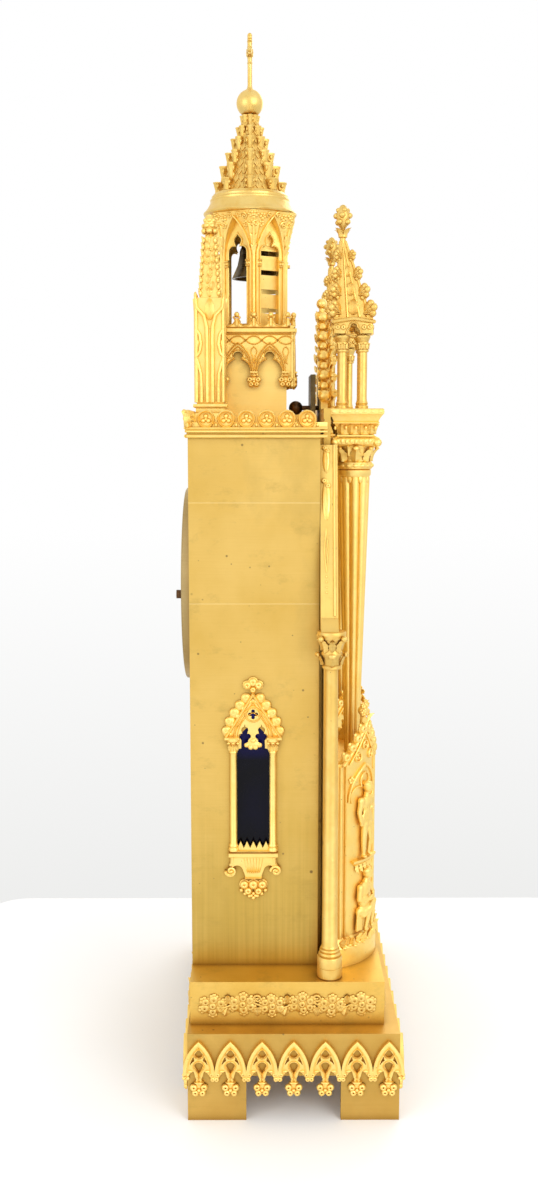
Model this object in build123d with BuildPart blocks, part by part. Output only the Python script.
"""Gilt bronze steeple clock in the Gothic cathedral style.

The clock faces -Y, stands on Z = 0 and its steeple rises along +Z. All sizes are in millimetres.
"""
import os
from math import atan2, cos, degrees, pi, radians, sin, sqrt

from build123d import *

os.makedirs("parts", exist_ok=True)

# Fits shared by all pieces
running_clearance = 0.05
easy_gap = 0.3

# Lower plinth with four corner feet
plinth_width = 252.0
plinth_depth = 123.0
plinth_height = 53.2
plinth_y = -3.0
plinth_wall = 4.0
plinth_ledge = 10.0
foot_length = 34.0
foot_height = 27.5

# Arcade valance hung round the plinth
valance_thickness = 2.6
valance_front_arches = 14
valance_side_arches = 7
valance_top_drop = 4.0
valance_spring_drop = 24.0
valance_band = 2.4
valance_crown_share = 1.5
valance_rosette_radius = 3.2
valance_drop_length = 14.0
valance_drop_width = 7.0

# Upper step with vine friezes
step_side_inset = 12.0
step_front_inset = 8.2
step_rear_inset = 1.1
step_height = 26.0
step_wall = 4.0
frieze_height = 15.5
frieze_margin = 5.0
frieze_thickness = 1.6

# Case body
case_width = 180.0
case_depth = 75.4
case_height = 314.8
case_wall = 3.0
case_front_width = 150.0
case_front_thickness = 2.5

# Roof plate and pierced gallery
roof_thickness = 5.7
roof_overhang = 1.4
roof_groove = 0.8
gallery_thickness = 2.2
gallery_ring_radius = 5.1
gallery_ring_band = 1.5
gallery_ring_seat = 0.9
gallery_side_rings = 7
gallery_rear_rings = 16
gallery_rail = 1.6

# Side windows
window_y = 20.5
window_width = 19.2
window_sill_z = 152.8
window_spring_z = 213.2
window_rise = 14.4
window_frame_band = 5.4
window_frame_thickness = 2.6
window_gable_width = 35.0
window_gable_apex_z = 246.0
window_finial_top_z = 255.5
window_console_z = 142.8
window_drop_z = 120.5
window_colonnette_radius = 2.1
glass_thickness = 1.6
glass_margin = 3.0

# Facade
facade_half_width = 95.5
facade_thickness = 4.0
facade_shoulder_z = 286.0
facade_neck_half_width = 76.6
facade_neck_z = 372.0
coping_width = 7.2
coping_depth = 10.0
coping_top_z = 390.0

# Dial and hands
dial_z = 300.0
dial_radius = 44.0
dial_thickness = 1.8
bezel_outer_radius = 48.0
bezel_lip = 2.4
bezel_height = 5.2
dial_foot_radius = 1.6
dial_foot_circle = 36.0
movement_hole_radius = 27.0
minute_hand_length = 36.0
hour_hand_length = 25.0
hand_thickness = 0.8

# Corner colonnettes
colonnette_x = 105.6
colonnette_y = -24.5
colonnette_radius = 4.65
colonnette_drum_radius = 7.4
colonnette_drum_height = 13.0
colonnette_ring_height = 5.5
colonnette_ring_reach = 1.4
colonnette_neck_reach = 1.2
colonnette_capital_radius = 9.0
colonnette_capital_height = 20.7

# Clustered columns, their capitals and entablatures
column_x = 60.0
column_y = -39.5
column_shafts = 8
column_shaft_share = 0.3
column_core_share = 0.76
column_flute_ring = 5.0
column_top_radius = 9.4
column_foot_radius = 4.2
column_head_z = 375.6
column_neck_height = 4.7
column_neck_radius = 10.7
capital_height = 9.0
abacus_height = 5.2
frieze_block_height = 8.2
cornice_height = 8.2
cornice_width = 33.0
block_edge_radius = 1.2

# Aedicule pinnacles over the columns
pinnacle_post_spacing = 11.8
pinnacle_post_radius = 2.6
pinnacle_post_height = 44.0
pinnacle_roof_band = 8.6
pinnacle_roof_width = 23.0
pinnacle_spire_height = 44.0
pinnacle_spire_lean = 6.0
pinnacle_bud_height = 20.0
pinnacle_setback = 1.8
pinnacle_tip_width = 3.0
pinnacle_arch_share = 0.6
pinnacle_crockets = 4
pinnacle_crocket_radius = 2.6
pinnacle_crocket_taper = 1.0
pinnacle_stem_radius = 1.6
pinnacle_collar_radius = 4.2
pinnacle_collar_share = 0.35
pinnacle_bud_radius = 3.6
pinnacle_bud_share = 0.8

# Half round relief bays under the columns
bay_y = -18.0
bay_radius = 34.5
bay_wall = 3.0
bay_top_z = 203.7
bay_shelf = 3.0
bay_plinth_radius = 37.4
bay_plinth_height = 11.3
bay_ground_height = 6.0
bay_gable_angle = 36.0
bay_gable_width = 34.0
bay_gable_rise = 22.0
bay_finial_height = 15.0

# Portal between the bays
portal_width = 44.0
portal_thickness = 6.0
portal_top_z = 206.0
portal_gable_rise = 30.0
portal_opening_width = 28.0
portal_spring_z = 170.0
portal_opening_rise = 24.0
portal_door_thickness = 2.0
portal_step_height = 5.0
portal_step_tread = 6.0

# Gable over the dial
gable_half_width = 42.0
gable_rise = 62.0
gable_rose_radius = 10.0
gable_rose_drop = 40.0
gable_crocket_radius = 3.4
gable_crockets = 5
gable_first_crocket = 0.6
gable_finial_height = 9.0
bracket_thickness = 3.0
bracket_width = 40.0
bracket_height = 33.0
bracket_knob_radius = 4.4
bolt_height = 12.8
bolt_radius = 1.5

# Tower, arcade hood and rear piers
tower_y = 20.3
tower_width = 40.5
tower_wall = 2.5
tower_height = 62.0
hood_width = 49.0
hood_wall = 3.0
hood_height = 36.5
hood_arch_width = 17.0
hood_arch_rise = 15.0
hood_spring_drop = 26.0
hood_ledge = 1.7
hood_ledge_overhang = 1.5
cresting_height = 8.5
cresting_wall = 1.6
cresting_balls = 5
cresting_ball_radius = 1.9
pier_depth = 17.4
pier_width = 14.0
pier_base_height = 14.6
pier_base_overhang = 1.5
pier_shaft_height = 62.5
pier_spire_height = 36.0
pier_spire_width = 11.6
pier_crocket_tiers = 4
pier_first_crocket = 0.4
pier_crocket_radius = 1.5
pier_tip = 6.6
pier_bud_radius = 5.0
pier_bud_rise = 4.6
pier_bud_tip_radius = 3.0
pier_bud_tip_rise = 10.4

# Lantern, bell and hammer
lantern_side = 22.6
lantern_wall = 2.5
lantern_floor = 2.0
lantern_height = 68.8
lantern_opening_width = 13.5
lantern_opening_rise = 13.0
lantern_head_drop = 10.5
lantern_flare_radius = 27.6
lantern_flare_height = 11.0
louvre_thickness = 1.6
louvre_width = 17.0
louvre_slot_height = 3.0
louvre_slots_drop = 18.1
louvre_slot_pitch = 11.5
louvre_slots = 4
stop_pin_radius = 1.1
stop_pin_reach = 3.0
stop_pin_rise = 38.4
bell_radius = 13.9
bell_height = 22.0
bell_wall = 1.8
bell_lip_height = 8.0
bell_lip_flare = 3.5
bell_mouth_rise = 31.0
bell_post_radius = 1.5
bell_seat_radius = 2.0
bell_shoulder_radius = 9.0
bell_shoulder_drop = 7.3
bell_curve_radius = 6.9
bell_curve_drop = 1.7
bell_crown_radius = 3.2
bell_crown_inner_radius = 2.6
bell_curve_wall = 1.45
bell_nut_height = 3.0
hammer_x = 6.2
hammer_pivot_rise = 6.5
hammer_arm_width = 1.6
hammer_arm_length = 29.0
hammer_head_radius = 1.7
hammer_arbor_radius = 0.8
hammer_strike_gap = 1.2
hammer_tail_length = 8.0
hammer_rod_radius = 0.8
hammer_rod_bottom_z = 347.0

# Steeple
spire_shift_y = 2.4
spire_cornice_radius = 29.2
spire_cornice_height = 13.4
spire_cornice_chamfer = 1.6
spire_cornice_edge_low = 2.7
spire_cornice_edge_top = 5.4
spire_cornice_ring_z = 9.4
spire_cornice_ledge = 1.4
spire_base_radius = 21.6
spire_height = 47.0
spire_tip_radius = 3.2
spire_tiers = 6
spire_tier_flare = 1.5
ball_radius = 8.3
ball_seat = 0.9
cross_height = 34.0
cross_width = 17.0
cross_thickness = 2.6
cross_bar_width = 3.0
cross_bar_height = 21.1
cross_boss_radius = 3.6

# Rear door
door_radius = 61.7
door_opening_radius = 55.0
door_ring_height = 0.8
door_thickness = 5.2
door_plate = 1.6
door_hinge_offset = 2.8
hinge_pin_radius = 0.9
hinge_barrel_radius = 1.9
hinge_knuckle_length = 9.0
door_knob_radius = 2.6
door_knob_length = 3.7
door_knob_inset = 6.0

# Movement between two round plates
movement_front_y = -12.0
movement_plate_gap = 30.0
movement_plate = 2.0
movement_radius = 42.0
pillar_circle = 37.5
pillar_radius = 2.4
pillar_angle = 54.0
strap_width = 10.0
strap_thickness = 2.5
arbor_radius = 0.9
arbor_pivot_radius = 0.7
centre_arbor_radius = 1.6
tooth_tip_share = 0.8
tooth_root_share = 1.1
tooth_foot_share = 0.3
tooth_crest_share = 0.1
great_module = 0.5
great_teeth = 72
great_pinion_teeth = 12
centre_module = 0.4
centre_teeth = 64
third_pinion_teeth = 8
third_module = 0.35
third_teeth = 60
escape_pinion_teeth = 8
escape_teeth = 30
escape_radius = 9.0
escape_rise = 15.0
pallet_rise = 28.0
barrel_angle = 204.0
strike_pin_angle = -135.0
barrel_radius = 15.5
winding_arbor_radius = 1.5
winding_hole_radius = 2.6
winding_square = 2.0
great_thickness = 2.0
pinion_overlap = 0.4
end_shake = 0.1
motion_module = 0.5
cannon_teeth = 12
minute_wheel_teeth = 36
minute_pinion_teeth = 10
hour_wheel_teeth = 40
motion_angle = 235.0
wheel_thickness = 1.2
lift_pins = 8
lift_pin_radius = 0.5
lift_pin_circle = 10.0
lift_pin_length = 1.8

# Layers of the movement, from the inner face of the front plate to the rear face of each wheel
pin_wheel_layer = 4.6
centre_wheel_layer = 7.2
drum_layer = 8.0
escape_wheel_layer = 15.2
strike_wheel_layer = 19.5
going_wheel_layer = 23.0
third_wheel_layer = 25.2

# Motion work in front of the front plate, and the hands
cannon_layer = 0.6
minute_wheel_layer = 1.8
hour_wheel_layer = 4.0
motion_stud_length = 5.6
hour_pipe_wall = 0.75
hand_gap = 1.1
hand_boss_radius = 3.6
hand_ring_radius = 3.2
hand_ring_share = 0.6
hour_hand_turn = 60.0
hand_root_width = 2.2
centre_arbor_nose = 1.0

# Pendulum, anchor and the cock that carries them
cock_standoff = 6.0
cock_thickness = 2.0
suspension_stud_radius = 1.2
suspension_stud_length = 5.0
suspension_ring_radius = 3.0
suspension_ring_width = 2.0
anchor_clearance = 0.9
anchor_arm_width = 2.0
anchor_span = 48.0
crutch_thickness = 1.5
crutch_length = 22.0
fork_prong = 0.8
pendulum_length = 112.0
pendulum_bob_radius = 12.0
pendulum_bob_thickness = 6.0
pendulum_rod_radius = 0.9

# Levels worked out from the sizes above
step_width = plinth_width - 2 * step_side_inset
step_front_y = plinth_y - plinth_depth / 2 + step_front_inset
step_rear_y = plinth_y + plinth_depth / 2 - step_rear_inset
step_depth = step_rear_y - step_front_y
step_y = (step_front_y + step_rear_y) / 2
step_top_z = plinth_height + step_height
case_rear_y = step_rear_y
case_front_y = case_rear_y - case_depth
case_y = (case_rear_y + case_front_y) / 2
case_top_z = step_top_z + case_height
roof_top_z = case_top_z + roof_thickness
facade_back_y = case_front_y - case_front_thickness
facade_front_y = facade_back_y - facade_thickness
abacus_z = column_head_z + column_neck_height + capital_height
cornice_z = abacus_z + abacus_height + frieze_block_height
cornice_top_z = cornice_z + cornice_height
tower_top_z = roof_top_z + tower_height
lantern_top_z = tower_top_z + lantern_height
spire_y = tower_y + spire_shift_y
spire_z = lantern_top_z + spire_cornice_height
spire_top_z = spire_z + spire_height
hour_pipe_bore = centre_arbor_radius + running_clearance
hour_pipe_radius = hour_pipe_bore + hour_pipe_wall

# Places of the arbors in the movement, as distances across and up from the dial centre
great_distance = great_module * (great_teeth + great_pinion_teeth) / 2
going_x = great_distance * cos(radians(barrel_angle))
going_z = great_distance * sin(radians(barrel_angle))
strike_x = -going_x
pin_x = strike_x + great_distance * cos(radians(strike_pin_angle))
pin_z = going_z + great_distance * sin(radians(strike_pin_angle))
third_distance = centre_module * (centre_teeth + third_pinion_teeth) / 2
escape_distance = third_module * (third_teeth + escape_pinion_teeth) / 2
third_z = (third_distance**2 - escape_distance**2 + escape_rise**2) / (2 * escape_rise)
third_x = sqrt(third_distance**2 - third_z**2)
third_angle = degrees(atan2(third_z, third_x))
escape_angle = degrees(atan2(escape_rise - third_z, -third_x))
motion_distance = motion_module * (cannon_teeth + minute_wheel_teeth) / 2
hour_module = 2 * motion_distance / (minute_pinion_teeth + hour_wheel_teeth)
motion_x = motion_distance * cos(radians(motion_angle))
motion_z = motion_distance * sin(radians(motion_angle))


def upright(x, y, z, facing):
    """Plane that stands upright with its origin at a point and looks the given way round Z, in degrees."""
    turn = radians(facing)
    return Plane(origin=(x, y, z), x_dir=(-sin(turn), cos(turn), 0), z_dir=(cos(turn), sin(turn), 0))


def level(z):
    """Level plane at a height."""
    return Plane.XY.offset(z)


FRONT = -90
REAR = 90
LEFT = 180
RIGHT = 0


def lancet(width, straight, rise):
    """Face of a pointed arch over an upright rectangle, with its origin on the springing line."""
    half = width / 2
    reach = (rise**2 - half**2) / width
    radius = reach + half
    middle = (pi + atan2(rise, -reach)) / 2
    shoulder_x = reach + radius * cos(middle)
    shoulder_z = radius * sin(middle)
    with BuildSketch() as face:
        with BuildLine():
            ThreePointArc((-half, 0), (shoulder_x, shoulder_z), (0, rise))
            ThreePointArc((0, rise), (-shoulder_x, shoulder_z), (half, 0))
            Polyline((half, 0), (half, -straight), (-half, -straight), (-half, 0))
        make_face()
    return face.sketch


def pointed_ring(width, rise, band):
    """Face of a pointed arch band that springs from the line through its origin."""
    inner_width = width - 2 * band
    inner_rise = rise - valance_crown_share * band
    outer = lancet(width, band / 2, rise)
    inner = lancet(inner_width, band, inner_rise)
    return outer - inner


def trefoil(lobe):
    """Face of three round lobes about its origin."""
    with BuildSketch() as face:
        with PolarLocations(lobe, 3, start_angle=90):
            Circle(lobe)
    return face.sketch


# Plinth: a box open below and above, cut away between its feet
with BuildPart() as plinth:
    with BuildSketch():
        with Locations((0, plinth_y)):
            Rectangle(plinth_width, plinth_depth)
    extrude(amount=plinth_height)
    with BuildSketch():
        with Locations((0, plinth_y)):
            Rectangle(plinth_width - 2 * plinth_wall, plinth_depth - 2 * plinth_wall)
    extrude(amount=plinth_height - plinth_wall, mode=Mode.SUBTRACT)
    with BuildSketch():
        with Locations((0, step_y)):
            Rectangle(step_width - 2 * plinth_ledge, step_depth - 2 * plinth_ledge)
    extrude(amount=plinth_height, mode=Mode.SUBTRACT)
    with BuildSketch():
        with Locations((0, plinth_y)):
            Rectangle(plinth_width - 2 * foot_length, plinth_depth)
            Rectangle(plinth_width, plinth_depth - 2 * foot_length)
    extrude(amount=foot_height, mode=Mode.SUBTRACT)
plinth.part.label = "plinth"
export_step(plinth.part, "parts/plinth.step")


def valance_face(count, length):
    """Face of a run of pointed arches with rosettes at their feet and drops, from its springing line."""
    pitch = length / count
    rise = valance_spring_drop - valance_top_drop
    stem_length = valance_drop_length - valance_drop_width / 2
    arch = pointed_ring(pitch, rise, valance_band)
    with BuildSketch() as face:
        Rectangle(length, valance_band, align=(Align.CENTER, Align.MAX))
        with GridLocations(pitch, 1, count, 1):
            add(arch)
            Rectangle(valance_drop_width / 2, stem_length, align=(Align.CENTER, Align.MAX))
        with GridLocations(pitch, 1, count - 1, 1):
            Circle(valance_rosette_radius)
        with Locations((0, -stem_length)):
            with GridLocations(pitch, 1, count, 1):
                Circle(valance_drop_width / 2)
    return face.sketch


# Valances on the four sides, the side ones lapping the ends of the front and rear ones
front_valance_face = valance_face(valance_front_arches, plinth_width - 2 * easy_gap)
side_valance_face = valance_face(valance_side_arches, plinth_depth + 2 * valance_thickness)
valance_z = plinth_height - valance_spring_drop
with BuildPart() as plinth_valances:
    with BuildSketch(upright(0, plinth_y - plinth_depth / 2, valance_z, FRONT)):
        add(front_valance_face)
    with BuildSketch(upright(0, plinth_y + plinth_depth / 2, valance_z, REAR)):
        add(front_valance_face)
    with BuildSketch(upright(-plinth_width / 2, plinth_y, valance_z, LEFT)):
        add(side_valance_face)
    with BuildSketch(upright(plinth_width / 2, plinth_y, valance_z, RIGHT)):
        add(side_valance_face)
    extrude(amount=valance_thickness)
plinth_valances.part.label = "plinth_valances"
export_step(plinth_valances.part, "parts/plinth_valances.step")

# Upper step: a box open below that stands on the plinth
with BuildPart() as upper_step:
    with BuildSketch(level(plinth_height)):
        with Locations((0, step_y)):
            Rectangle(step_width, step_depth)
    extrude(amount=step_height)
    with BuildSketch(level(plinth_height)):
        with Locations((0, step_y)):
            Rectangle(step_width - 2 * step_wall, step_depth - 2 * step_wall)
    extrude(amount=step_height - step_wall, mode=Mode.SUBTRACT)
upper_step.part.label = "upper_step"
export_step(upper_step.part, "parts/upper_step.step")

# Vine friezes on the faces of the step
frieze_z = plinth_height + step_height / 2
with BuildPart() as vine_friezes:
    for frieze_facing, frieze_run in ((FRONT, step_width), (REAR, step_width)):
        frieze_face_y = step_front_y if frieze_facing == FRONT else step_rear_y
        with BuildSketch(upright(0, frieze_face_y, frieze_z, frieze_facing)):
            RectangleRounded(frieze_run - 2 * frieze_margin, frieze_height, frieze_height / 3)
        extrude(amount=frieze_thickness)
    for frieze_facing, frieze_x in ((LEFT, -step_width / 2), (RIGHT, step_width / 2)):
        with BuildSketch(upright(frieze_x, step_y, frieze_z, frieze_facing)):
            RectangleRounded(step_depth - 2 * frieze_margin, frieze_height, frieze_height / 3)
        extrude(amount=frieze_thickness)
vine_friezes.part.label = "vine_friezes"
export_step(vine_friezes.part, "parts/vine_friezes.step")

# Case sides: brass panels with a lancet window in each
window_straight = window_spring_z - window_sill_z
window_opening = lancet(window_width, window_straight, window_rise)


def case_side(side):
    """Side panel of the case, on the left (-1) or the right (+1)."""
    facing = RIGHT if side > 0 else LEFT
    inner_x = side * (case_width / 2 - case_wall)
    with BuildPart() as panel:
        with BuildSketch(upright(inner_x, case_y, step_top_z, facing)):
            Rectangle(case_depth, case_height, align=(Align.CENTER, Align.MIN))
        extrude(amount=case_wall)
        with BuildSketch(upright(inner_x, window_y, window_spring_z, facing)):
            add(window_opening)
        extrude(amount=case_wall, mode=Mode.SUBTRACT)
    return panel.part


for side, side_name in ((-1, "left"), (1, "right")):
    panel_part = case_side(side)
    panel_part.label = "case_side_" + side_name
    export_step(panel_part, "parts/case_side_" + side_name + ".step")

# Case back with the round opening to the movement
with BuildPart() as case_back:
    with BuildSketch(upright(0, case_rear_y - case_wall, step_top_z, REAR)):
        Rectangle(case_width - 2 * case_wall, case_height, align=(Align.CENTER, Align.MIN))
        with Locations((0, dial_z - step_top_z)):
            Circle(door_opening_radius, mode=Mode.SUBTRACT)
    extrude(amount=case_wall)
case_back.part.label = "case_back"
export_step(case_back.part, "parts/case_back.step")

# Case front, a narrower plate that leaves a shadow gap beside the facade
with BuildPart() as case_front:
    with BuildSketch(upright(0, case_front_y, step_top_z, FRONT)):
        Rectangle(case_front_width, case_height, align=(Align.CENTER, Align.MIN))
        with Locations((0, dial_z - step_top_z)):
            Circle(movement_hole_radius, mode=Mode.SUBTRACT)
            with PolarLocations(dial_foot_circle, 3, start_angle=90):
                Circle(dial_foot_radius + easy_gap, mode=Mode.SUBTRACT)
    extrude(amount=case_front_thickness)
case_front.part.label = "case_front"
export_step(case_front.part, "parts/case_front.step")

# Roof plate with a grooved edge and a hole for the hammer rod
roof_width = case_width + 2 * roof_overhang
roof_rear_y = case_rear_y + roof_overhang
roof_depth = roof_rear_y - case_front_y
rod_x = hammer_x + hammer_tail_length
with BuildPart() as roof_plate:
    with BuildSketch(level(case_top_z)):
        with Locations((0, case_front_y)):
            Rectangle(roof_width, roof_depth, align=(Align.CENTER, Align.MIN))
    extrude(amount=roof_thickness)
    with BuildSketch(level(case_top_z + roof_thickness / 3)):
        with Locations((0, case_front_y)):
            Rectangle(roof_width, roof_depth, align=(Align.CENTER, Align.MIN))
            Rectangle(
                roof_width - 2 * roof_groove,
                roof_depth - roof_groove,
                align=(Align.CENTER, Align.MIN),
                mode=Mode.SUBTRACT,
            )
    extrude(amount=roof_thickness / 4, mode=Mode.SUBTRACT)
    with Locations((rod_x, tower_y, roof_top_z)):
        Hole(hammer_rod_radius + 2 * easy_gap)
roof_plate.part.label = "roof_plate"
export_step(roof_plate.part, "parts/roof_plate.step")


def gallery_face(count, length):
    """Face of a run of pierced roundels on a rail, from the foot of the rail."""
    pitch = length / count
    ring_z = gallery_ring_radius * gallery_ring_seat
    lobe = (gallery_ring_radius - gallery_ring_band) / 2
    with BuildSketch() as face:
        Rectangle(length, gallery_rail, align=(Align.CENTER, Align.MIN))
        with Locations((0, ring_z)):
            Rectangle(length, gallery_rail)
            with GridLocations(pitch, 1, count, 1):
                Circle(gallery_ring_radius)
                add(trefoil(lobe), mode=Mode.SUBTRACT)
        Rectangle(length, gallery_ring_radius, align=(Align.CENTER, Align.MAX), mode=Mode.SUBTRACT)
    return face.sketch


# Gallery of trefoil roundels on three sides of the roof
gallery_side_face = gallery_face(gallery_side_rings, roof_depth - 2 * easy_gap)
gallery_rear_face = gallery_face(gallery_rear_rings, roof_width - 2 * gallery_thickness - 2 * easy_gap)
with BuildPart() as roof_gallery:
    for side, side_facing in ((-1, LEFT), (1, RIGHT)):
        gallery_x = side * (roof_width / 2 - gallery_thickness)
        with BuildSketch(upright(gallery_x, case_front_y + roof_depth / 2, roof_top_z, side_facing)):
            add(gallery_side_face)
        extrude(amount=gallery_thickness)
    with BuildSketch(upright(0, roof_rear_y - gallery_thickness, roof_top_z, REAR)):
        add(gallery_rear_face)
    extrude(amount=gallery_thickness)
roof_gallery.part.label = "roof_gallery"
export_step(roof_gallery.part, "parts/roof_gallery.step")


def window_frame(side):
    """Applied window frame: colonnettes, crocketed gable, console and leaf drop."""
    facing = RIGHT if side > 0 else LEFT
    face_x = side * case_width / 2
    jamb_width = window_width + 2 * window_frame_band
    finial_height = window_finial_top_z - window_gable_apex_z
    with BuildPart() as frame:
        with BuildSketch(upright(face_x, window_y, window_spring_z, facing)):
            with Locations((0, window_console_z - window_spring_z)):
                Rectangle(jamb_width, window_spring_z - window_console_z, align=(Align.CENTER, Align.MIN))
            with BuildLine():
                Polyline(
                    (-window_gable_width / 2, 0),
                    (window_gable_width / 2, 0),
                    (0, window_gable_apex_z - window_spring_z),
                    close=True,
                )
            make_face()
            with BuildLine():
                Polyline(
                    (-jamb_width / 2 + window_frame_band / 2, window_console_z - window_spring_z),
                    (jamb_width / 2 - window_frame_band / 2, window_console_z - window_spring_z),
                    (0, window_drop_z - window_spring_z),
                    close=True,
                )
            make_face()
            with Locations((0, window_gable_apex_z - window_spring_z)):
                Rectangle(window_frame_band, finial_height, align=(Align.CENTER, Align.MIN))
                Circle(window_frame_band)
            add(window_opening, mode=Mode.SUBTRACT)
        extrude(amount=window_frame_thickness)
        for across in (-1, 1):
            post_y = window_y + across * (window_width + window_frame_band) / 2
            with BuildSketch(level(window_sill_z)):
                with Locations((face_x + side * window_frame_thickness, post_y)):
                    Circle(window_colonnette_radius)
            extrude(amount=window_straight)
    return frame.part


# Window frames on both sides of the case
window_frame_parts = [window_frame(side) for side in (-1, 1)]
with BuildPart() as side_windows:
    for window_frame_part in window_frame_parts:
        add(window_frame_part)
side_windows.part.label = "side_windows"
export_step(side_windows.part, "parts/side_windows.step")

# Blue glass behind each window
with BuildPart() as window_glasses:
    for side in (-1, 1):
        glass_facing = RIGHT if side > 0 else LEFT
        glass_x = side * (case_width / 2 - case_wall - glass_thickness)
        with BuildSketch(upright(glass_x, window_y, window_sill_z - glass_margin, glass_facing)):
            Rectangle(
                window_width + 2 * glass_margin,
                window_straight + window_rise + 2 * glass_margin,
                align=(Align.CENTER, Align.MIN),
            )
        extrude(amount=glass_thickness)
window_glasses.part.label = "window_glasses"
export_step(window_glasses.part, "parts/window_glasses.step")

# Facade plate: broad below, with raking shoulders up to the neck behind the capitals
with BuildPart() as facade_plate:
    with BuildSketch(upright(0, facade_back_y, 0, FRONT)):
        with BuildLine():
            Polyline(
                (-facade_half_width, step_top_z),
                (facade_half_width, step_top_z),
                (facade_half_width, facade_shoulder_z),
                (facade_neck_half_width, facade_neck_z),
                (facade_neck_half_width, cornice_top_z),
                (-facade_neck_half_width, cornice_top_z),
                (-facade_neck_half_width, facade_neck_z),
                (-facade_half_width, facade_shoulder_z),
                close=True,
            )
        make_face()
        with Locations((0, dial_z)):
            Circle(movement_hole_radius, mode=Mode.SUBTRACT)
            with PolarLocations(dial_foot_circle, 3, start_angle=90):
                Circle(dial_foot_radius + easy_gap, mode=Mode.SUBTRACT)
    extrude(amount=facade_thickness)
facade_plate.part.label = "facade_plate"
export_step(facade_plate.part, "parts/facade_plate.step")

# Corner colonnettes, turned in one piece from drum to capital
colonnette_top_z = facade_shoulder_z - 2 * easy_gap
capital_z = colonnette_top_z - colonnette_capital_height
drum_top_z = step_top_z + colonnette_drum_height
shaft_z = drum_top_z + colonnette_ring_height
with BuildPart() as corner_colonnettes:
    for side in (-1, 1):
        colonnette_axis = Axis((side * colonnette_x, colonnette_y, 0), (0, 0, 1))
        with BuildSketch(upright(side * colonnette_x, colonnette_y, 0, FRONT)):
            with BuildLine():
                Polyline(
                    (0, step_top_z),
                    (colonnette_drum_radius, step_top_z),
                    (colonnette_drum_radius, drum_top_z),
                    (colonnette_radius + colonnette_ring_reach, drum_top_z + colonnette_ring_height / 2),
                    (colonnette_radius + colonnette_ring_reach, shaft_z),
                    (colonnette_radius, shaft_z),
                    (colonnette_radius, capital_z),
                    (colonnette_radius + colonnette_neck_reach, capital_z),
                    (colonnette_radius + colonnette_neck_reach, capital_z + colonnette_capital_height / 3),
                    (colonnette_capital_radius, capital_z + 2 * colonnette_capital_height / 3),
                    (colonnette_capital_radius, colonnette_top_z),
                    (0, colonnette_top_z),
                    close=True,
                )
            make_face()
        revolve(axis=colonnette_axis)
corner_colonnettes.part.label = "corner_colonnettes"
export_step(corner_colonnettes.part, "parts/corner_colonnettes.step")

# Raking copings that climb from the colonnettes to the neck of the facade
coping_y = case_front_y - easy_gap
coping_foot_z = colonnette_top_z
with BuildPart() as raking_copings:
    for side in (-1, 1):
        with BuildSketch(Plane.XZ.offset(-coping_y)):
            with BuildLine():
                Polyline(
                    (side * (facade_half_width + easy_gap), coping_foot_z),
                    (side * (colonnette_x + coping_width / 2), coping_foot_z),
                    (side * (facade_half_width + coping_width), coping_foot_z + coping_width),
                    (side * (facade_neck_half_width + coping_width), facade_neck_z),
                    (side * (facade_neck_half_width + coping_width / 2), coping_top_z),
                    (side * (facade_neck_half_width + easy_gap), coping_top_z),
                    (side * (facade_neck_half_width + easy_gap), facade_neck_z),
                    (side * (facade_half_width + easy_gap), facade_shoulder_z),
                    close=True,
                )
            make_face()
        extrude(amount=coping_depth)
raking_copings.part.label = "raking_copings"
export_step(raking_copings.part, "parts/raking_copings.step")

# Dial with three feet that pass through the facade to the movement
dial_front_y = facade_front_y - dial_thickness
with BuildPart() as dial:
    with BuildSketch(upright(0, facade_front_y, dial_z, FRONT)):
        Circle(dial_radius)
        Circle(hour_pipe_radius + easy_gap, mode=Mode.SUBTRACT)
        with Locations((going_x, going_z), (strike_x, going_z)):
            Circle(winding_hole_radius, mode=Mode.SUBTRACT)
    extrude(amount=dial_thickness)
    with BuildSketch(upright(0, facade_front_y, dial_z, REAR)):
        with PolarLocations(dial_foot_circle, 3, start_angle=90):
            Circle(dial_foot_radius)
    extrude(amount=movement_front_y - movement_plate - facade_front_y)
dial.part.label = "dial"
export_step(dial.part, "parts/dial.step")

# Bezel with a lip over the rim of the dial
dial_axis = Axis((0, 0, dial_z), (0, 1, 0))
with BuildPart() as dial_bezel:
    with BuildSketch(Plane.XY.offset(dial_z)):
        with BuildLine():
            Polyline(
                (dial_radius + easy_gap, facade_front_y),
                (bezel_outer_radius, facade_front_y),
                (bezel_outer_radius, facade_front_y - bezel_height / 2),
                (dial_radius + bezel_lip, facade_front_y - bezel_height),
                (dial_radius - bezel_lip, dial_front_y - bezel_lip / 2),
                (dial_radius - bezel_lip, dial_front_y),
                (dial_radius + easy_gap, dial_front_y),
                close=True,
            )
        make_face()
    revolve(axis=dial_axis)
dial_bezel.part.label = "dial_bezel"
export_step(dial_bezel.part, "parts/dial_bezel.step")


def cluster(radius):
    """Face of a bundle of round shafts about a core, of the given outer radius."""
    shaft = radius * column_shaft_share
    with BuildSketch() as face:
        Circle(radius * column_core_share)
        with PolarLocations(radius - shaft, column_shafts):
            Circle(shaft)
    return face.sketch


# Clustered columns that widen upwards from the shelf of the bay to the capital
with BuildPart() as clustered_columns:
    for side in (-1, 1):
        with BuildSketch(level(bay_top_z)):
            with Locations((side * column_x, column_y)):
                add(cluster(column_foot_radius))
        with BuildSketch(level(column_head_z - column_flute_ring)):
            with Locations((side * column_x, column_y)):
                add(cluster(column_top_radius))
        loft(ruled=True)
        with BuildSketch(level(column_head_z - column_flute_ring)):
            with Locations((side * column_x, column_y)):
                Circle(column_top_radius)
        extrude(amount=column_flute_ring)
        with BuildSketch(level(column_head_z)):
            with Locations((side * column_x, column_y)):
                Circle(column_neck_radius)
        extrude(amount=column_neck_height)
clustered_columns.part.label = "clustered_columns"
export_step(clustered_columns.part, "parts/clustered_columns.step")

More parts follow.
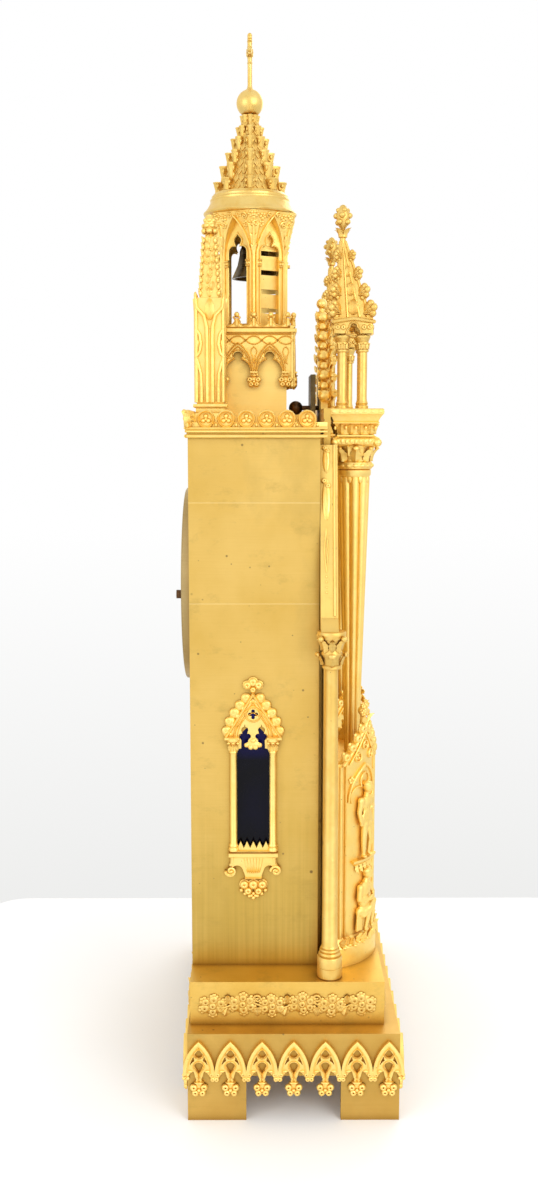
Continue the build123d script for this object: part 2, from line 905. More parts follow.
# Leaf capital, abacus, frieze and cornice of each column, flat against the facade
with BuildPart() as column_entablatures:
    for side in (-1, 1):
        with BuildSketch(level(column_head_z + column_neck_height)):
            with Locations((side * column_x, column_y)):
                Circle(column_top_radius)
        with BuildSketch(level(abacus_z)):
            with Locations((side * column_x, column_y)):
                Circle(cornice_width / 2 - 2)
        loft()
        for block_z, block_height, block_width in (
            (abacus_z, abacus_height, cornice_width - 1),
            (abacus_z + abacus_height, frieze_block_height, cornice_width - 7),
            (cornice_z, cornice_height, cornice_width),
        ):
            with BuildSketch(level(block_z)):
                with Locations((side * column_x, column_y)):
                    RectangleRounded(block_width, block_width, block_edge_radius)
            extrude(amount=block_height)
        with Locations((side * column_x, facade_front_y, abacus_z)):
            Box(
                2 * cornice_width,
                cornice_width,
                4 * cornice_width,
                align=(Align.CENTER, Align.MIN, Align.CENTER),
                mode=Mode.SUBTRACT,
            )
column_entablatures.part.label = "column_entablatures"
export_step(column_entablatures.part, "parts/column_entablatures.step")

# Aedicule pinnacles: four posts, an arched band and a crocketed spire
pinnacle_y = column_y + pinnacle_setback
pinnacle_band_z = cornice_top_z + pinnacle_post_height
pinnacle_spire_z = pinnacle_band_z + pinnacle_roof_band
pinnacle_tip_z = pinnacle_spire_z + pinnacle_spire_height
pinnacle_tip_y = pinnacle_y + pinnacle_spire_lean
pinnacle_arch_rise = pinnacle_roof_band * pinnacle_arch_share
pinnacle_arch = lancet(pinnacle_post_spacing - 2 * pinnacle_post_radius, 1, pinnacle_arch_rise)
with BuildPart() as pinnacles:
    for side in (-1, 1):
        with BuildSketch(level(cornice_top_z)):
            with Locations((side * column_x, pinnacle_y)):
                with GridLocations(pinnacle_post_spacing, pinnacle_post_spacing, 2, 2):
                    Circle(pinnacle_post_radius)
        extrude(amount=pinnacle_post_height)
        for collar_z in (cornice_top_z, pinnacle_band_z - 2 * pinnacle_post_radius):
            with BuildSketch(level(collar_z)):
                with Locations((side * column_x, pinnacle_y)):
                    with GridLocations(pinnacle_post_spacing, pinnacle_post_spacing, 2, 2):
                        Circle(pinnacle_post_radius + 1)
            extrude(amount=2 * pinnacle_post_radius)
        with BuildSketch(level(pinnacle_band_z)):
            with Locations((side * column_x, pinnacle_y)):
                Rectangle(pinnacle_roof_width, pinnacle_roof_width)
        extrude(amount=pinnacle_roof_band)
        for arch_facing in (FRONT, LEFT):
            with BuildSketch(upright(side * column_x, pinnacle_y, pinnacle_band_z, arch_facing)):
                add(pinnacle_arch)
            extrude(amount=pinnacle_roof_width, both=True, mode=Mode.SUBTRACT)
        with BuildSketch(level(pinnacle_spire_z)):
            with Locations((side * column_x, pinnacle_y)):
                Rectangle(pinnacle_roof_width, pinnacle_roof_width)
        with BuildSketch(level(pinnacle_tip_z)):
            with Locations((side * column_x, pinnacle_tip_y)):
                Rectangle(pinnacle_tip_width, pinnacle_tip_width)
        loft(ruled=True)
        for tier in range(pinnacle_crockets):
            climb = (tier + 0.5) / pinnacle_crockets
            half = (pinnacle_roof_width * (1 - climb) + pinnacle_tip_width * climb) / 2
            tier_y = pinnacle_y + pinnacle_spire_lean * climb
            with Locations((side * column_x, tier_y, pinnacle_spire_z + climb * pinnacle_spire_height)):
                with GridLocations(2 * half, 2 * half, 2, 2):
                    Sphere(pinnacle_crocket_radius - pinnacle_crocket_taper * climb)
        with Locations((side * column_x, pinnacle_tip_y, pinnacle_tip_z)):
            Cylinder(pinnacle_stem_radius, pinnacle_bud_height, align=(Align.CENTER, Align.CENTER, Align.MIN))
        pinnacle_collar_z = pinnacle_tip_z + pinnacle_collar_share * pinnacle_bud_height
        with Locations((side * column_x, pinnacle_tip_y, pinnacle_collar_z)):
            Sphere(pinnacle_collar_radius)
        pinnacle_bud_z = pinnacle_tip_z + pinnacle_bud_share * pinnacle_bud_height
        with Locations((side * column_x, pinnacle_tip_y, pinnacle_bud_z)):
            Sphere(pinnacle_bud_radius)
pinnacles.part.label = "pinnacles"
export_step(pinnacles.part, "parts/pinnacles.step")

# Half round relief bays: wall, shelf, rocky ground and plinth, with two curved gables on the wall
bay_cut = 3 * bay_radius
for side, side_name in ((-1, "left"), (1, "right")):
    bay_axis = Axis((side * column_x, bay_y, 0), (0, 0, 1))
    with BuildPart() as bay_gables:
        for turn in (-bay_gable_angle, bay_gable_angle):
            with BuildSketch(upright(side * column_x, bay_y, bay_top_z, FRONT + turn)):
                with BuildLine():
                    Polyline(
                        (-bay_gable_width / 2, -bay_shelf),
                        (bay_gable_width / 2, -bay_shelf),
                        (bay_gable_width / 2, 0),
                        (0, bay_gable_rise),
                        (-bay_gable_width / 2, 0),
                        close=True,
                    )
                make_face()
            extrude(amount=bay_radius + bay_wall)
        with BuildSketch(level(bay_top_z - bay_shelf)):
            with Locations((side * column_x, bay_y)):
                Circle(bay_radius)
                Circle(bay_radius - bay_wall, mode=Mode.SUBTRACT)
        extrude(amount=bay_shelf + bay_gable_rise, mode=Mode.INTERSECT)
    with BuildPart() as relief_bay:
        with BuildSketch(upright(side * column_x, bay_y, 0, FRONT)):
            with BuildLine():
                Polyline(
                    (bay_radius - bay_wall, step_top_z),
                    (bay_plinth_radius, step_top_z),
                    (bay_plinth_radius, step_top_z + bay_plinth_height),
                    (bay_radius, step_top_z + bay_plinth_height + bay_ground_height),
                    (bay_radius, bay_top_z),
                    (0, bay_top_z),
                    (0, bay_top_z - bay_shelf),
                    (bay_radius - bay_wall, bay_top_z - bay_shelf),
                    close=True,
                )
            make_face()
        revolve(axis=bay_axis)
        with Locations((side * column_x, facade_front_y, bay_top_z)):
            Box(
                bay_cut,
                bay_cut,
                3 * bay_top_z,
                align=(Align.CENTER, Align.MIN, Align.CENTER),
                mode=Mode.SUBTRACT,
            )
        add(bay_gables.part)
        for turn in (-bay_gable_angle, bay_gable_angle):
            finial_turn = radians(FRONT + turn)
            finial_reach = bay_radius - bay_wall / 2
            finial_x = side * column_x + finial_reach * cos(finial_turn)
            finial_y = bay_y + finial_reach * sin(finial_turn)
            with Locations((finial_x, finial_y, bay_top_z + bay_gable_rise - bay_wall)):
                Cylinder(bay_wall / 2, bay_finial_height, align=(Align.CENTER, Align.CENTER, Align.MIN))
            with Locations((finial_x, finial_y, bay_top_z + bay_gable_rise + bay_finial_height / 2)):
                Sphere(bay_wall)
    relief_bay.part.label = "relief_bay_" + side_name
    export_step(relief_bay.part, "parts/relief_bay_" + side_name + ".step")

# Portal: a gabled frame round a lancet doorway, with its steps in front and two door leaves
portal_opening = lancet(portal_opening_width, portal_spring_z - step_top_z, portal_opening_rise)
with BuildPart() as portal_frame:
    with BuildSketch(upright(0, facade_front_y, portal_spring_z, FRONT)):
        with BuildLine():
            Polyline(
                (-portal_width / 2, step_top_z - portal_spring_z),
                (portal_width / 2, step_top_z - portal_spring_z),
                (portal_width / 2, portal_top_z - portal_spring_z),
                (0, portal_top_z + portal_gable_rise - portal_spring_z),
                (-portal_width / 2, portal_top_z - portal_spring_z),
                close=True,
            )
        make_face()
        add(portal_opening, mode=Mode.SUBTRACT)
    extrude(amount=portal_thickness)
    for step_number in range(2):
        with BuildSketch(level(step_top_z + step_number * portal_step_height)):
            with Locations((0, facade_front_y - portal_thickness)):
                Rectangle(
                    portal_opening_width - step_number * portal_step_tread / 2,
                    (2 - step_number) * portal_step_tread,
                    align=(Align.CENTER, Align.MAX),
                )
        extrude(amount=portal_step_height)
portal_frame.part.label = "portal_frame"
export_step(portal_frame.part, "parts/portal_frame.step")

door_leaf_width = portal_opening_width - 2 * easy_gap
portal_leaf_face = lancet(door_leaf_width, portal_spring_z - step_top_z, portal_opening_rise - easy_gap)
with BuildPart() as portal_doors:
    with BuildSketch(upright(0, facade_front_y, portal_spring_z, FRONT)):
        add(portal_leaf_face)
        Rectangle(easy_gap, 2 * portal_spring_z, mode=Mode.SUBTRACT)
    extrude(amount=portal_door_thickness)
portal_doors.part.label = "portal_doors"
export_step(portal_doors.part, "parts/portal_doors.step")

# Crocketed gable that stands on the facade over the dial
gable_apex_z = cornice_top_z + gable_rise
gable_middle_y = (facade_back_y + facade_front_y) / 2
with BuildPart() as dial_gable:
    with BuildSketch(upright(0, facade_back_y, cornice_top_z, FRONT)):
        with BuildLine():
            Polyline((-gable_half_width, 0), (gable_half_width, 0), (0, gable_rise), close=True)
        make_face()
        with Locations((0, gable_rise - gable_rose_drop)):
            Circle(gable_rose_radius, mode=Mode.SUBTRACT)
    extrude(amount=facade_thickness)
    for side in (-1, 1):
        for crocket in range(gable_crockets):
            climb = (crocket + gable_first_crocket) / gable_crockets
            crocket_x = side * gable_half_width * (1 - climb)
            with Locations((crocket_x, gable_middle_y, cornice_top_z + gable_rise * climb)):
                Sphere(gable_crocket_radius)
    with Locations((0, gable_middle_y, gable_apex_z - gable_crocket_radius)):
        Cylinder(
            gable_crocket_radius / 2,
            gable_finial_height,
            align=(Align.CENTER, Align.CENTER, Align.MIN),
        )
    with Locations((0, gable_middle_y, gable_apex_z + gable_finial_height / 2)):
        Sphere(gable_crocket_radius)
dial_gable.part.label = "dial_gable"
export_step(dial_gable.part, "parts/dial_gable.step")

# Dark bracket behind the gable, and the knobbed bolt that draws them together
bracket_y = case_front_y
bolt_z = roof_top_z + bolt_height
knob_y = bracket_y + bracket_thickness + 2 * bracket_knob_radius
with BuildPart() as gable_bracket:
    with BuildSketch(upright(0, bracket_y, roof_top_z, REAR)):
        Rectangle(bracket_width, bracket_height, align=(Align.CENTER, Align.MIN))
        with Locations((0, bolt_z - roof_top_z)):
            Circle(bolt_radius + running_clearance, mode=Mode.SUBTRACT)
    extrude(amount=bracket_thickness)
gable_bracket.part.label = "gable_bracket"
export_step(gable_bracket.part, "parts/gable_bracket.step")

with BuildPart() as bracket_bolt:
    with BuildSketch(upright(0, facade_back_y, bolt_z, REAR)):
        Circle(bolt_radius)
    extrude(amount=knob_y - facade_back_y)
    with Locations((0, knob_y, bolt_z)):
        Sphere(bracket_knob_radius)
bracket_bolt.part.label = "bracket_bolt"
export_step(bracket_bolt.part, "parts/bracket_bolt.step")

# Square tower on the roof
with BuildPart() as tower_base:
    with BuildSketch(level(roof_top_z)):
        with Locations((0, tower_y)):
            Rectangle(tower_width, tower_width)
            Rectangle(tower_width - 2 * tower_wall, tower_width - 2 * tower_wall, mode=Mode.SUBTRACT)
    extrude(amount=tower_height)
tower_base.part.label = "tower_base"
export_step(tower_base.part, "parts/tower_base.step")

# Arcade hood round the head of the tower, with its ledge and cresting
hood_ledge_width = hood_width + 2 * hood_ledge_overhang
hood_inner = tower_width + 2 * running_clearance
hood_bottom_z = tower_top_z - hood_height
hood_arch = lancet(hood_arch_width, hood_height, hood_arch_rise)
hood_pitch = hood_arch_width + hood_wall
with BuildPart() as arcade_hood:
    with BuildSketch(level(hood_bottom_z)):
        with Locations((0, tower_y)):
            Rectangle(hood_width, hood_width)
            Rectangle(hood_width - 2 * hood_wall, hood_width - 2 * hood_wall, mode=Mode.SUBTRACT)
    extrude(amount=hood_height - hood_ledge)
    for arch_facing in (FRONT, LEFT):
        with BuildSketch(upright(0, tower_y, tower_top_z - hood_spring_drop, arch_facing)):
            with GridLocations(hood_pitch, 1, 2, 1):
                add(hood_arch)
        extrude(amount=hood_width, both=True, mode=Mode.SUBTRACT)
    with BuildSketch(level(tower_top_z - hood_ledge)):
        with Locations((0, tower_y)):
            Rectangle(hood_ledge_width, hood_ledge_width)
            Rectangle(hood_inner, hood_inner, mode=Mode.SUBTRACT)
    extrude(amount=hood_ledge)
    with BuildSketch(level(tower_top_z)):
        with Locations((0, tower_y)):
            Rectangle(hood_width, hood_width)
            Rectangle(hood_width - 2 * cresting_wall, hood_width - 2 * cresting_wall, mode=Mode.SUBTRACT)
    extrude(amount=cresting_height / 2)
    cresting_pitch = (hood_width - cresting_wall) / cresting_balls
    cresting_places = [n - cresting_balls / 2 for n in range(cresting_balls + 1)]
    for ball_n in cresting_places:
        for ball_side in (-1, 1):
            edge = ball_side * (hood_width - cresting_wall) / 2
            along = ball_n * cresting_pitch
            with Locations((along, tower_y + edge, tower_top_z), (edge, tower_y + along, tower_top_z)):
                Cylinder(
                    cresting_wall / 2,
                    cresting_height - cresting_ball_radius,
                    align=(Align.CENTER, Align.CENTER, Align.MIN),
                )
            ball_z = tower_top_z + cresting_height - cresting_ball_radius
            with Locations((along, tower_y + edge, ball_z), (edge, tower_y + along, ball_z)):
                Sphere(cresting_ball_radius)
arcade_hood.part.label = "arcade_hood"
export_step(arcade_hood.part, "parts/arcade_hood.step")

# Panelled piers with crocketed spires at the rear corners of the tower
pier_x = hood_ledge_width / 2 + easy_gap + pier_width / 2 + pier_base_overhang
pier_y = tower_y + tower_width / 2 + pier_depth / 3
pier_shaft_z = roof_top_z + pier_base_height
pier_spire_z = pier_shaft_z + pier_shaft_height
pier_tip_z = pier_spire_z + pier_spire_height
with BuildPart() as rear_piers:
    for side in (-1, 1):
        with BuildSketch(level(roof_top_z)):
            with Locations((side * pier_x, pier_y)):
                Rectangle(pier_width + 2 * pier_base_overhang, pier_depth + 2 * pier_base_overhang)
        extrude(amount=pier_base_height)
        with BuildSketch(level(pier_shaft_z)):
            with Locations((side * pier_x, pier_y)):
                Rectangle(pier_width, pier_depth)
        extrude(amount=pier_shaft_height)
        with BuildSketch(level(pier_spire_z)):
            with Locations((side * pier_x, pier_y)):
                Rectangle(pier_spire_width, pier_spire_width)
        with BuildSketch(level(pier_tip_z)):
            with Locations((side * pier_x, pier_y)):
                Rectangle(pier_tip, pier_tip)
        loft(ruled=True)
        for tier in range(pier_crocket_tiers):
            climb = (tier + pier_first_crocket) / pier_crocket_tiers
            tier_width = pier_spire_width * (1 - climb) + pier_tip * climb
            with Locations((side * pier_x, pier_y, pier_spire_z + climb * pier_spire_height)):
                with GridLocations(tier_width, tier_width, 2, 2):
                    Sphere(pier_crocket_radius)
        with Locations((side * pier_x, pier_y, pier_tip_z + pier_bud_rise)):
            Sphere(pier_bud_radius)
        with Locations((side * pier_x, pier_y, pier_tip_z + pier_bud_tip_rise)):
            Sphere(pier_bud_tip_radius)
rear_piers.part.label = "rear_piers"
export_step(rear_piers.part, "parts/rear_piers.step")

# Six sided lantern with a floor, open lancets and a flared head
lantern_apothem = lantern_side * sqrt(3) / 2
lantern_inner_apothem = lantern_apothem - lantern_wall
lantern_floor_z = tower_top_z + lantern_floor
lantern_spring_z = lantern_top_z - lantern_head_drop - lantern_opening_rise
lantern_straight = lantern_spring_z - lantern_floor_z
lantern_arch = lancet(lantern_opening_width, lantern_straight, lantern_opening_rise)
stand_hole_radius = hammer_rod_radius + easy_gap
with BuildPart() as lantern:
    with BuildSketch(level(tower_top_z)):
        with Locations((0, tower_y)):
            RegularPolygon(lantern_side, 6)
    extrude(amount=lantern_height)
    with BuildSketch(level(lantern_top_z - lantern_flare_height)):
        with Locations((0, tower_y)):
            Circle(lantern_apothem)
    with BuildSketch(level(lantern_top_z)):
        with Locations((0, tower_y)):
            Circle(lantern_flare_radius)
    loft()
    with BuildSketch(level(lantern_floor_z)):
        with Locations((0, tower_y)):
            RegularPolygon(lantern_inner_apothem, 6, major_radius=False)
    extrude(amount=lantern_height, mode=Mode.SUBTRACT)
    for face_number in range(6):
        face_turn = 30 + 60 * face_number
        with BuildSketch(upright(0, tower_y, lantern_spring_z, face_turn)):
            add(lantern_arch)
        extrude(amount=lantern_side, mode=Mode.SUBTRACT)
    with Locations((rod_x, tower_y, lantern_floor_z)):
        Hole(stand_hole_radius)
lantern.part.label = "lantern"
export_step(lantern.part, "parts/lantern.step")

# Slotted louvre plates behind the three front lancets, the middle one with a small pin
louvre_reach = lantern_inner_apothem - louvre_thickness
louvre_face = lancet(louvre_width, lantern_straight, lantern_opening_rise)
with BuildPart() as lantern_louvres:
    for louvre_turn in (FRONT - 60, FRONT, FRONT + 60):
        louvre_x = louvre_reach * cos(radians(louvre_turn))
        louvre_y = tower_y + louvre_reach * sin(radians(louvre_turn))
        with BuildSketch(upright(louvre_x, louvre_y, lantern_spring_z, louvre_turn)):
            add(louvre_face)
            with Locations((0, -louvre_slots_drop)):
                with GridLocations(1, louvre_slot_pitch, 1, louvre_slots):
                    Rectangle(lantern_opening_width, louvre_slot_height, mode=Mode.SUBTRACT)
        extrude(amount=louvre_thickness)
    with BuildSketch(upright(0, tower_y - lantern_inner_apothem, tower_top_z + stop_pin_rise, FRONT)):
        Circle(stop_pin_radius)
    extrude(amount=lantern_wall + stop_pin_reach)
lantern_louvres.part.label = "lantern_louvres"
export_step(lantern_louvres.part, "parts/lantern_louvres.step")

# Bell with a straight flared lip under a rounded shoulder
bell_axis = Axis((0, tower_y, 0), (0, 0, 1))
bell_mouth_z = tower_top_z + bell_mouth_rise
bell_waist = bell_radius - bell_lip_flare
bell_crown_z = bell_mouth_z + bell_height
bell_shoulder_z = bell_crown_z - bell_shoulder_drop
bell_curve_z = bell_crown_z - bell_curve_drop
with BuildPart() as bell:
    with BuildSketch(upright(0, tower_y, 0, FRONT)):
        with BuildLine():
            Polyline(
                (bell_radius - bell_wall, bell_mouth_z),
                (bell_radius, bell_mouth_z),
                (bell_waist, bell_mouth_z + bell_lip_height),
                (bell_shoulder_radius, bell_shoulder_z),
            )
            ThreePointArc(
                (bell_shoulder_radius, bell_shoulder_z),
                (bell_curve_radius, bell_curve_z),
                (bell_crown_radius, bell_crown_z),
            )
            Polyline(
                (bell_crown_radius, bell_crown_z),
                (bell_post_radius + running_clearance, bell_crown_z),
                (bell_post_radius + running_clearance, bell_crown_z - bell_wall),
                (bell_crown_inner_radius, bell_crown_z - bell_wall),
            )
            ThreePointArc(
                (bell_crown_inner_radius, bell_crown_z - bell_wall),
                (bell_curve_radius - bell_curve_wall, bell_curve_z - bell_curve_wall),
                (bell_shoulder_radius - bell_wall, bell_shoulder_z),
            )
            Polyline(
                (bell_shoulder_radius - bell_wall, bell_shoulder_z),
                (bell_waist - bell_wall, bell_mouth_z + bell_lip_height),
                (bell_radius - bell_wall, bell_mouth_z),
            )
        make_face()
    revolve(axis=bell_axis)
bell.part.label = "bell"
export_step(bell.part, "parts/bell.step")

# Post that carries the bell, and the nut that holds it
with BuildPart() as bell_post:
    with Locations((0, tower_y, lantern_floor_z)):
        Cylinder(
            bell_seat_radius,
            bell_crown_z - bell_wall - lantern_floor_z,
            align=(Align.CENTER, Align.CENTER, Align.MIN),
        )
    with Locations((0, tower_y, bell_crown_z - bell_wall)):
        Cylinder(
            bell_post_radius,
            bell_wall + bell_nut_height,
            align=(Align.CENTER, Align.CENTER, Align.MIN),
        )
    with BuildSketch(level(bell_crown_z)):
        with Locations((0, tower_y)):
            RegularPolygon(2 * bell_post_radius, 6)
            Circle(bell_post_radius + running_clearance, mode=Mode.SUBTRACT)
    extrude(amount=bell_nut_height)
bell_post.part.label = "bell_post"
export_step(bell_post.part, "parts/bell_post.step")

# Hammer inside the bell: arm, head, arbor and tail
hammer_pivot_z = lantern_floor_z + hammer_pivot_rise
hammer_ear = 1.5
hammer_ear_y = hammer_arm_width / 2 + easy_gap + hammer_ear / 2
hammer_head_z = hammer_pivot_z + hammer_arm_length - hammer_head_radius
hammer_head_rise = hammer_head_z - bell_mouth_z
bell_inner_here = bell_radius - bell_wall - bell_lip_flare * hammer_head_rise / bell_lip_height
hammer_tip_x = bell_inner_here - hammer_strike_gap
with BuildPart() as bell_hammer:
    with Locations((hammer_x, tower_y, hammer_pivot_z)):
        Box(
            hammer_arm_width,
            hammer_arm_width,
            hammer_arm_length,
            align=(Align.CENTER, Align.CENTER, Align.MIN),
        )
        Box(
            hammer_tail_length + 2 * hammer_rod_radius,
            hammer_arm_width,
            hammer_arm_width,
            align=(Align.MIN, Align.CENTER, Align.CENTER),
        )
        Cylinder(hammer_arbor_radius, 2 * (hammer_ear_y + hammer_ear), rotation=(90, 0, 0))
    with BuildSketch(upright(hammer_x - hammer_arm_width / 2, tower_y, hammer_head_z, RIGHT)):
        Circle(hammer_head_radius)
    extrude(amount=hammer_tip_x - hammer_x + hammer_arm_width / 2)
bell_hammer.part.label = "bell_hammer"
export_step(bell_hammer.part, "parts/bell_hammer.step")

# Stand with two ears that carry the hammer arbor
with BuildPart() as hammer_stand:
    for ear_side in (-1, 1):
        with Locations((hammer_x, tower_y + ear_side * hammer_ear_y, lantern_floor_z)):
            Box(
                4 * hammer_arbor_radius,
                hammer_ear,
                hammer_pivot_rise + 2 * hammer_arbor_radius,
                align=(Align.CENTER, Align.CENTER, Align.MIN),
            )
    with Locations((hammer_x, tower_y, hammer_pivot_z)):
        Cylinder(
            hammer_arbor_radius + running_clearance,
            4 * hammer_ear_y,
            rotation=(90, 0, 0),
            mode=Mode.SUBTRACT,
        )
hammer_stand.part.label = "hammer_stand"
export_step(hammer_stand.part, "parts/hammer_stand.step")

# Pull rod from the movement up to the tail of the hammer
rod_top_z = hammer_pivot_z - hammer_arm_width / 2 - easy_gap
with BuildPart() as hammer_rod:
    with Locations((rod_x, tower_y, hammer_rod_bottom_z)):
        Cylinder(
            hammer_rod_radius,
            rod_top_z - hammer_rod_bottom_z,
            align=(Align.CENTER, Align.CENTER, Align.MIN),
        )
hammer_rod.part.label = "hammer_rod"
export_step(hammer_rod.part, "parts/hammer_rod.step")

# Ring cornice under the spire
spire_axis = Axis((0, spire_y, 0), (0, 0, 1))
with BuildPart() as spire_cornice:
    with BuildSketch(upright(0, spire_y, lantern_top_z, FRONT)):
        with BuildLine():
            Polyline(
                (0, 0),
                (spire_cornice_radius - spire_cornice_chamfer, 0),
                (spire_cornice_radius, spire_cornice_edge_low),
                (spire_cornice_radius, spire_cornice_edge_top),
                (spire_base_radius + spire_cornice_ledge, spire_cornice_ring_z),
                (spire_base_radius + spire_cornice_ledge, spire_cornice_height),
                (0, spire_cornice_height),
                close=True,
            )
        make_face()
    revolve(axis=spire_axis)
spire_cornice.part.label = "spire_cornice"
export_step(spire_cornice.part, "parts/spire_cornice.step")

# Eight sided spire in stepped tiers
tier_height = spire_height / spire_tiers
tier_shrink = (spire_base_radius - spire_tip_radius) / spire_tiers
with BuildPart() as spire:
    for tier in range(spire_tiers):
        tier_radius = spire_base_radius - tier * tier_shrink
        with BuildSketch(level(spire_z + tier * tier_height)):
            with Locations((0, spire_y)):
                RegularPolygon(tier_radius, 8)
        with BuildSketch(level(spire_z + (tier + 1) * tier_height)):
            with Locations((0, spire_y)):
                RegularPolygon(tier_radius - tier_shrink - spire_tier_flare, 8)
        loft(ruled=True)
spire.part.label = "spire"
export_step(spire.part, "parts/spire.step")

# Ball flattened where it meets the spire and the cross
ball_z = spire_top_z + ball_seat * ball_radius
cross_z = ball_z + ball_seat * ball_radius
with BuildPart() as finial_ball:
    with Locations((0, spire_y, ball_z)):
        Sphere(ball_radius)
        Box(
            2 * ball_radius,
            2 * ball_radius,
            2 * ball_seat * ball_radius,
            mode=Mode.INTERSECT,
        )
finial_ball.part.label = "finial_ball"
export_step(finial_ball.part, "parts/finial_ball.step")

# Cross with round lobes on its arms, broad side to the front
with BuildPart() as finial_cross:
    with BuildSketch(upright(0, spire_y + cross_thickness / 2, cross_z, FRONT)):
        Rectangle(cross_bar_width, cross_height - cross_bar_width, align=(Align.CENTER, Align.MIN))
        with Locations((0, cross_bar_height)):
            Rectangle(cross_width - cross_bar_width, cross_bar_width)
            Circle(cross_boss_radius)
        with Locations(
            (0, cross_height - cross_bar_width),
            (-(cross_width / 2 - cross_bar_width), cross_bar_height),
            (cross_width / 2 - cross_bar_width, cross_bar_height),
        ):
            Circle(cross_bar_width)
    extrude(amount=cross_thickness)
finial_cross.part.label = "finial_cross"
export_step(finial_cross.part, "parts/finial_cross.step")

# Seat ring of the rear door, with the two fixed knuckles of its hinge
door_seat_y = case_rear_y + door_ring_height
door_outer_y = door_seat_y + door_thickness
hinge_x = door_radius + door_hinge_offset
hinge_y = door_seat_y + door_thickness / 2
hinge_step = hinge_knuckle_length + easy_gap
with BuildPart() as door_ring:
    with BuildSketch(upright(0, case_rear_y, dial_z, REAR)):
        Circle(door_radius)
        Circle(door_opening_radius, mode=Mode.SUBTRACT)
    extrude(amount=door_ring_height)
    for knuckle in (-1, 1):
        with Locations((hinge_x, hinge_y, dial_z + knuckle * hinge_step)):
            Cylinder(hinge_barrel_radius, hinge_knuckle_length)
        with Locations((hinge_x, case_rear_y, dial_z + knuckle * hinge_step)):
            Box(
                2 * hinge_barrel_radius,
                hinge_y - case_rear_y,
                hinge_knuckle_length,
                align=(Align.CENTER, Align.MIN, Align.CENTER),
            )
        with Locations((hinge_x - door_hinge_offset, case_rear_y, dial_z + knuckle * hinge_step)):
            Box(
                2 * door_hinge_offset,
                door_ring_height,
                hinge_knuckle_length,
                align=(Align.CENTER, Align.MIN, Align.CENTER),
            )
    with Locations((hinge_x, hinge_y, dial_z)):
        Cylinder(hinge_pin_radius + running_clearance, 4 * hinge_step, mode=Mode.SUBTRACT)
door_ring.part.label = "door_ring"
export_step(door_ring.part, "parts/door_ring.step")

# Round rear door: a rimmed plate with the middle knuckle and a hole for its knob
knob_x = -(door_radius - door_knob_inset)
knob_stem_radius = door_knob_radius / 2
with BuildPart() as rear_door:
    with BuildSketch(upright(0, door_seat_y + easy_gap, dial_z, REAR)):
        Circle(door_radius)
    extrude(amount=door_thickness - easy_gap)
    with BuildSketch(upright(0, door_seat_y + easy_gap, dial_z, REAR)):
        Circle(door_opening_radius - easy_gap)
    extrude(amount=door_thickness - easy_gap - door_plate, mode=Mode.SUBTRACT)
    with Locations((hinge_x, hinge_y, dial_z)):
        Cylinder(hinge_barrel_radius, hinge_knuckle_length)
    with Locations((hinge_x, hinge_y, dial_z)):
        Box(
            2 * door_hinge_offset,
            hinge_barrel_radius,
            hinge_knuckle_length,
            align=(Align.MAX, Align.CENTER, Align.CENTER),
        )
        Cylinder(hinge_pin_radius + running_clearance, 4 * hinge_step, mode=Mode.SUBTRACT)
    with BuildSketch(upright(knob_x, door_seat_y, dial_z, REAR)):
        Circle(knob_stem_radius)
    extrude(amount=door_thickness, mode=Mode.SUBTRACT)
rear_door.part.label = "rear_door"
export_step(rear_door.part, "parts/rear_door.step")

with BuildPart() as door_knob:
    with BuildSketch(upright(knob_x, door_seat_y + easy_gap, dial_z, REAR)):
        Circle(knob_stem_radius)
    extrude(amount=door_thickness - easy_gap)
    with BuildSketch(upright(knob_x, door_outer_y, dial_z, REAR)):
        Circle(door_knob_radius)
    extrude(amount=door_knob_length)
door_knob.part.label = "door_knob"
export_step(door_knob.part, "parts/door_knob.step")

with BuildPart() as hinge_pin:
    with Locations((hinge_x, hinge_y, dial_z)):
        Cylinder(hinge_pin_radius, 2 * hinge_step + hinge_knuckle_length)
hinge_pin.part.label = "hinge_pin"
export_step(hinge_pin.part, "parts/hinge_pin.step")


def gear_face(teeth, module, first):
    """Face of a toothed wheel with slim teeth, one of them pointing in the direction first, in degrees."""
    pitch_radius = teeth * module / 2
    tip = pitch_radius + tooth_tip_share * module
    root = pitch_radius - tooth_root_share * module
    tooth_steps = (
        (-tooth_foot_share, root),
        (-tooth_crest_share, tip),
        (tooth_crest_share, tip),
        (tooth_foot_share, root),
    )
    corners = []
    for tooth in range(teeth):
        for share, radius in tooth_steps:
            angle = radians(first + (tooth + share) * 360 / teeth)
            corners.append((radius * cos(angle), radius * sin(angle)))
    with BuildSketch() as face:
        with BuildLine():
            Polyline(*corners, close=True)
        make_face()
    return face.sketch


def mesh_turn(direction, teeth):
    """Direction of a tooth on a wheel that meshes with one lying the opposite way of the given direction."""
    return direction + 180 + 180 / teeth


# Layers of the movement from front to rear
front_plate_y = movement_front_y - movement_plate
back_plate_y = movement_front_y + movement_plate_gap
back_plate_rear_y = back_plate_y + movement_plate
cock_y = back_plate_rear_y + cock_standoff
cock_rear_y = cock_y + cock_thickness
hour_hand_y = dial_front_y - hand_gap
minute_hand_y = hour_hand_y - hand_thickness - hand_gap
arbor_nose_y = minute_hand_y - hand_thickness - centre_arbor_nose


def gear(x, z, rear_y, thickness, face):
    """Toothed wheel made from a face, between rear_y and the thickness in front of it."""
    with BuildPart() as wheel:
        with BuildSketch(upright(x, rear_y, dial_z + z, FRONT)):
            add(face)
        extrude(amount=thickness)
    return wheel.part


def rod_along_y(x, z, front_y, rear_y, radius):
    """Round rod parallel to Y at a place measured from the dial centre."""
    with BuildPart() as rod:
        with BuildSketch(upright(x, rear_y, dial_z + z, FRONT)):
            Circle(radius)
        extrude(amount=rear_y - front_y)
    return rod.part


